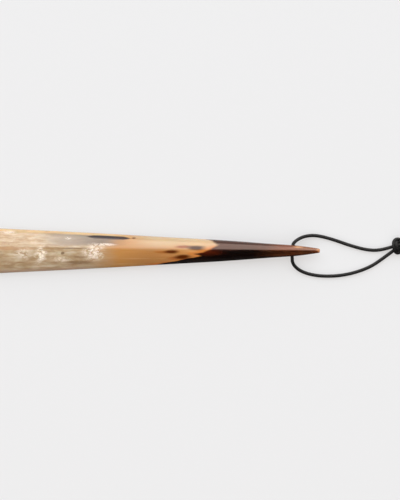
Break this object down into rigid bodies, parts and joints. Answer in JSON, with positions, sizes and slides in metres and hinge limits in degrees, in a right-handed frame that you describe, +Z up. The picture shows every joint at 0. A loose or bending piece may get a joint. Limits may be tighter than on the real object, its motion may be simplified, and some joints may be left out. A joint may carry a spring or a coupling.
{
  "type": "shoehorn",
  "caption": "Long shoehorn of polished ox horn: a hollow-backed blade tapering to a solid, cross-drilled tip with a knotted loop of black leather cord.",
  "frame": {"origin": "under the middle of the horn's length, on the surface that it lies on", "axes": "+X along the horn from the scoop to the tip, +Y across the blade, +Z up, away from the hollow side"},
  "size_m": [0.3735, 0.0392, 0.0096],
  "materials": {
    "polished_horn": "polished natural horn, cream and amber at the scoop, dark brown at the tip",
    "leather_cord": "black waxed round leather cord, fine grain, low sheen"
  },
  "bodies": {
    "horn": {"horn_blade": "polished_horn"},
    "cord_loop": {"upper_strand": "leather_cord", "lower_strand": "leather_cord", "cord_knot": "leather_cord", "upper_tail": "leather_cord", "lower_tail": "leather_cord"}
  },
  "joints": [
    {"name": "loop_swing", "type": "hinge", "parent": "horn", "child": "cord_loop", "pos_m": [0.1345, 0, 0.0062], "axis": [0, -1, 0], "range_deg": [-150, 175]}
  ]
}
